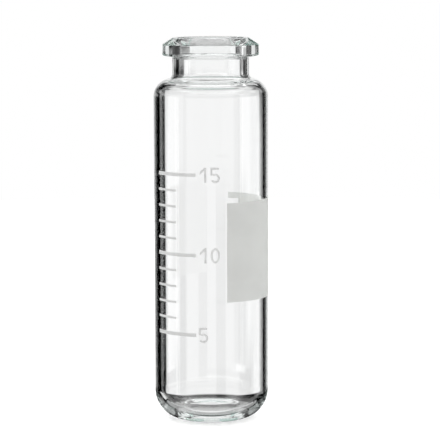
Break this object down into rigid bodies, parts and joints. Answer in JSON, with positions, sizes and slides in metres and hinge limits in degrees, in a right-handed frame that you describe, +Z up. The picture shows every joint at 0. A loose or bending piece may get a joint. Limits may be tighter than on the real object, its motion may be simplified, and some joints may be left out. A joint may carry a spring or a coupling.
{
  "type": "glass sample vial",
  "caption": "Tall clear glass vial with a rounded base, a short neck and a bevelled crimp flange; holds a liquid sample under a crimped cap.",
  "frame": {"origin": "on the vial's axis, in the plane of its foot", "axes": "+Z up along the vial's axis to the mouth; -Y is the front, between the volume scale and the write-on patch, with the patch towards +X"},
  "size_m": [0.0225, 0.0225, 0.0755],
  "materials": {
    "clear_glass": "gloss",
    "fired_enamel": "matt",
    "white_enamel": "matt"
  },
  "bodies": {
    "root": {"vial": "clear_glass", "writing_patch": "fired_enamel", "scale_marks": "white_enamel"}
  },
  "joints": []
}
